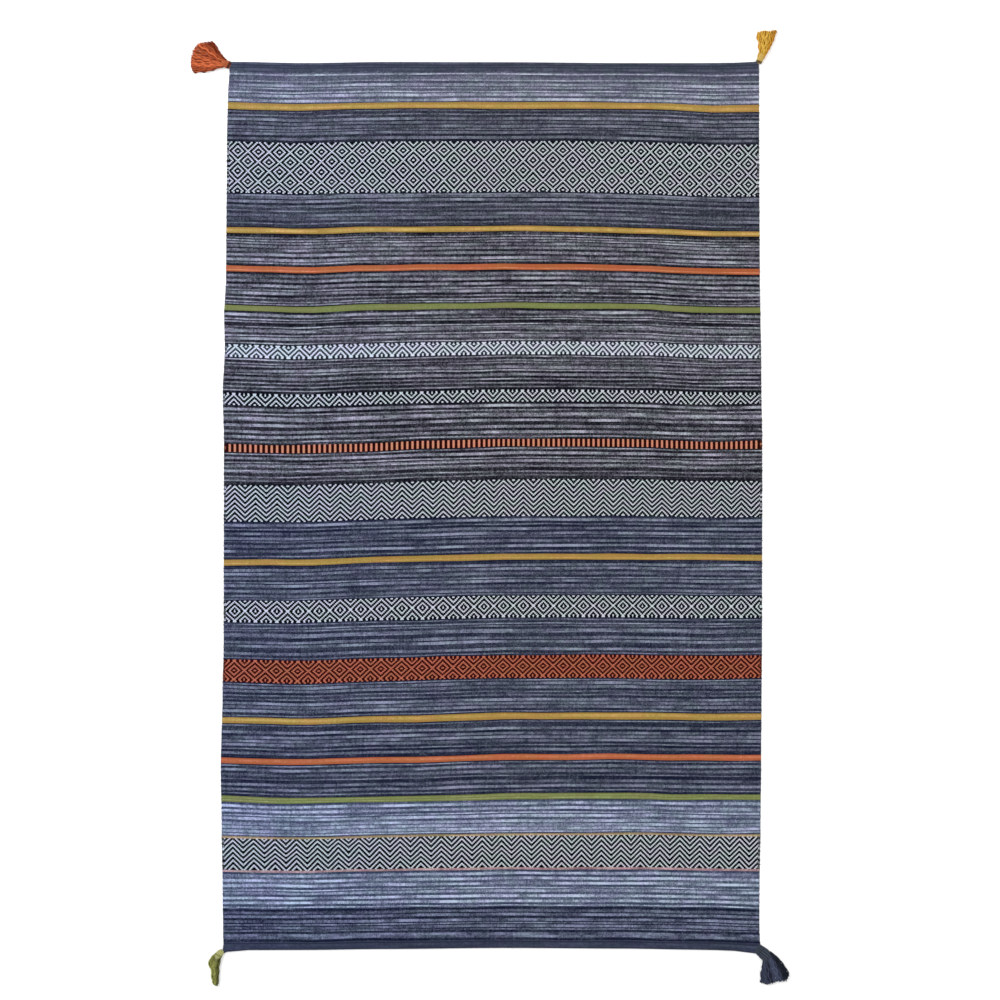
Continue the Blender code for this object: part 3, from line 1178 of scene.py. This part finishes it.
    def build_skirt(self) -> bpy.types.Object:
        """Lays the loose yarns. The top layer is sparse and lightest, and those below fill it, darker with
        painted shade the lower they lie.

        Returns:
            The yarns, as one piece.
        """
        draw = random.Random(self.seed)
        strands = Strands()
        top = self.layers - 1
        tapers = [mix(self.root_girth, 1.0, smooth(self.root_taper * i / self.segments))
                  for i in range(self.segments + 1)]
        for layer in range(self.layers):
            for column in range(self.columns):
                if column % self.lock == 0:
                    phase = draw.uniform(0, math.tau)
                    shade = draw.random()
                if layer == top and draw.random() < self.thinned:
                    continue
                varies = draw.uniform(-self.column_varies, self.column_varies)
                share = (column + 0.5 + 0.5 * (layer % 2) + varies) / (self.columns + 0.5)
                line = self.path(share, layer, phase, draw)
                radius = self.yarn_thick / 2 * draw.uniform(*self.girths)
                radii = [radius * taper for taper in tapers]
                radii[-1] *= self.tip_girth
                # Painted shade: each layer down is darker, as under the yarns above it, and the side away
                # from the light is darker still.
                tone = (draw.random() + shade) / 2 * mix(self.under_layer_shade, 1.0, layer / top)
                if share > self.shaded_side:
                    tone *= self.shaded_tone
                strands.sweep(line, radii, tone)
        return strands.piece(self.name + "_yarns")

    def dress(self) -> None:
        shade = self.binding.colour
        paler = tuple(value * self.paler for value in shade)
        made = (
            (self.build_head(), YarnFinish(self.name + "_head", self.head_dark, self.head_light)),
            (self.build_binding(), YarnFinish(self.name + "_binding", shade, paler)),
            (self.build_skirt(), YarnFinish(self.name + "_yarn", self.dark, self.light)),
        )
        for piece, finish in made:
            piece.data.materials.append(finish.material())
            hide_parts("tassel_" + self.name)
            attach(piece, "root")
            LOG.info("%s: %d faces", piece.name, len(piece.data.polygons))


def fan_rows(*rows: tuple) -> tuple:
    """A fan, from its rows' reach in millimetres and two bearings in degrees."""
    return tuple(FanRow(reach * MM, first, last) for reach, first, last in rows)


def head_rows(*rows: tuple) -> tuple:
    """A head, from its rows' reach, girth, low and high, with lengths in millimetres."""
    return tuple(HeadRow(reach * MM, girth, low * MM, high * MM) for reach, girth, low, high in rows)


TASSELS = [
    Tassel(
        name="orange", apex=(-576 * MM, 983 * MM),
        fan=fan_rows(
            (14, 182, 118), (20, 178.5, 131), (27, 177.5, 134.8), (40, 181.5, 136), (55, 186.5, 132.5),
            (70, 187, 129.5), (100, 185.5, 131),
        ),
        reaches=(93, 97.5, 99, 100, 101, 100.5, 96, 85, 77),
        head=head_rows(
            (12, 0.9, 2.8, 4.2), (15, 1.0, 1.5, 6.0), (20, 1.05, 0.4, 9.4), (28, 0.8, 0.3, 12.2),
            (35, 0.5, 1.5, 11.0),
        ),
        binding=Binding(14.5 * MM, 19.5 * MM, 4, seen(44, 25, 28)),
        yarn_thick=2.7 * MM, columns=37, layers=4,
        dark=seen(100, 18, 0), light=seen(230, 120, 74),
        head_dark=seen(104, 44, 26), head_light=seen(216, 120, 76),
        seed=31,
    ),
    Tassel(
        name="yellow", apex=(596 * MM, 985 * MM),
        fan=fan_rows(
            (12, 100, 42), (17, 91, 46.5), (34, 83, 54), (42, 84, 55.5), (52, 87, 56.5), (66, 90, 58),
            (92, 92.5, 61.5),
        ),
        reaches=(76, 79, 82, 83.5, 84.5, 90, 93),
        head=head_rows(
            (10, 1.0, 2.8, 4.6), (14, 1.0, 1.5, 6.0), (20, 1.0, 0.4, 8.6), (27, 0.9, 0.3, 9.6),
            (33, 0.6, 1.5, 9.0),
        ),
        binding=Binding(11 * MM, 17 * MM, 5, seen(62, 48, 42)),
        yarn_thick=2.6 * MM, columns=24, layers=4,
        dark=seen(198, 132, 24), light=seen(246, 202, 90),
        head_dark=seen(160, 124, 46), head_light=seen(238, 204, 118),
        seed=32,
    ),
    Tassel(
        name="green", apex=(-604 * MM, -994 * MM),
        fan=fan_rows(
            (8, 192, 300), (14, 205, 276), (21, 213, 262), (29, 213.5, 261.5), (38, 219.5, 261),
            (45, 229.5, 261), (52, 241, 261.5), (64, 249, 262.5), (80, 254, 263),
        ),
        reaches=(79, 82, 83, 83, 81),
        head=head_rows(
            (3, 0.8, 3.0, 4.6), (8, 0.9, 2.4, 7.4), (14, 0.95, 0.6, 10.0), (20, 0.85, 0.3, 11.8),
            (27, 0.5, 1.5, 11.0),
        ),
        binding=Binding(17 * MM, 20 * MM, 2, seen(96, 100, 48)),
        yarn_thick=2.3 * MM, columns=11, layers=5,
        dark=seen(34, 37, 0), light=seen(214, 218, 124),
        head_dark=seen(84, 88, 46), head_light=seen(212, 212, 146),
        shaded_side=0.72, seed=33,
    ),
    Tassel(
        name="navy", apex=(588 * MM, -985 * MM),
        fan=fan_rows(
            (12, 285, 368), (16, 281, 362), (20, 285, 354), (26, 293, 347.5), (42, 299.5, 339.5),
            (54, 290, 334.5), (69, 283.5, 330), (83, 280.5, 326), (95, 279.5, 323), (110, 279.5, 317.5),
        ),
        reaches=(84, 90, 94, 95.5, 96, 100, 104, 109, 101),
        head=head_rows(
            (8, 0.9, 2.8, 4.6), (18, 1.0, 2.4, 5.8), (30, 1.0, 0.4, 9.5), (42, 0.88, 0.3, 14.0),
            (50, 0.5, 2.0, 12.5),
        ),
        binding=Binding(24 * MM, 26 * MM, 2, seen(44, 48, 60)),
        yarn_thick=2.7 * MM, columns=34, layers=4,
        dark=seen(3, 4, 10), light=seen(82, 89, 116),
        head_dark=seen(0, 1, 4), head_light=seen(76, 84, 98),
        shaded_side=0.78, seed=34,
    ),
]


@dataclass
class Studio:
    """The camera above the rug, the pale floor and the soft lights."""

    middle: tuple = (19.1 * MM, 13.5 * MM)
    above: float = 3 * MM
    view_width: float = 2.245
    lens: float = 100.0
    sensor: float = 36.0
    floor_size: float = 40.0
    floor_drop: float = 0.1 * MM
    floor_glow: float = 0.2
    sky: float = 0.72
    key: tuple = ((-3.4, 3.0, 5.2), 3.0, 260.0)
    fill: tuple = ((4.2, -1.6, 4.2), 4.0, 60.0)

    def camera(self) -> None:
        """Places the camera straight above the middle of the picture."""
        data = bpy.data.cameras.new("overhead")
        data.type = "PERSP"
        data.lens = self.lens
        data.sensor_width = self.sensor
        camera = add_object("overhead", data)
        camera.location = (*self.middle, self.view_width * self.lens / self.sensor + self.above)
        bpy.context.scene.camera = camera

    def light(self, name: str, place: tuple, size: float, power: float) -> None:
        """Adds one soft square light that faces the rug.

        Args:
            name: The light's name.
            place: Where it stands.
            size: The length of its sides.
            power: Its power in watts.
        """
        data = bpy.data.lights.new(name, "AREA")
        data.shape = "SQUARE"
        data.size = size
        data.energy = power
        lamp = add_object(name, data)
        lamp.location = place
        lamp.rotation_euler = (-Vector(place)).to_track_quat("-Z", "Y").to_euler()

    def build(self) -> None:
        """Sets the floor, the lights and how the picture shows its colours."""
        bpy.ops.object.select_all(action="DESELECT")
        bpy.ops.mesh.primitive_plane_add(size=self.floor_size, location=(0, 0, -self.floor_drop))
        floor = bpy.context.object
        floor.name = "floor"
        graph = Graph("pale_floor")
        graph.feed(graph.shader, {"Base Color": (0.93, 0.93, 0.93, 1.0), "Roughness": 0.9,
                                  "Emission Color": (1.0, 1.0, 1.0, 1.0),
                                  "Emission Strength": self.floor_glow})
        floor.data.materials.append(graph.material)
        self.light("key", *self.key)
        self.light("fill", *self.fill)
        world = bpy.data.worlds.new("sky")
        world.use_nodes = True
        background = world.node_tree.nodes["Background"]
        background.inputs["Color"].default_value = (1.0, 1.0, 1.0, 1.0)
        background.inputs["Strength"].default_value = self.sky
        bpy.context.scene.world = world
        bpy.context.scene.view_settings.view_transform = "Standard"


def main() -> None:
    """Builds the picture's studio, the cloth and the four tassels."""
    logging.basicConfig(level=logging.INFO, format="%(message)s")
    studio = Studio()
    studio.camera()
    studio.build()
    Cloth().dress()
    for tassel in TASSELS:
        tassel.dress()


if __name__ == "__main__":
    main()
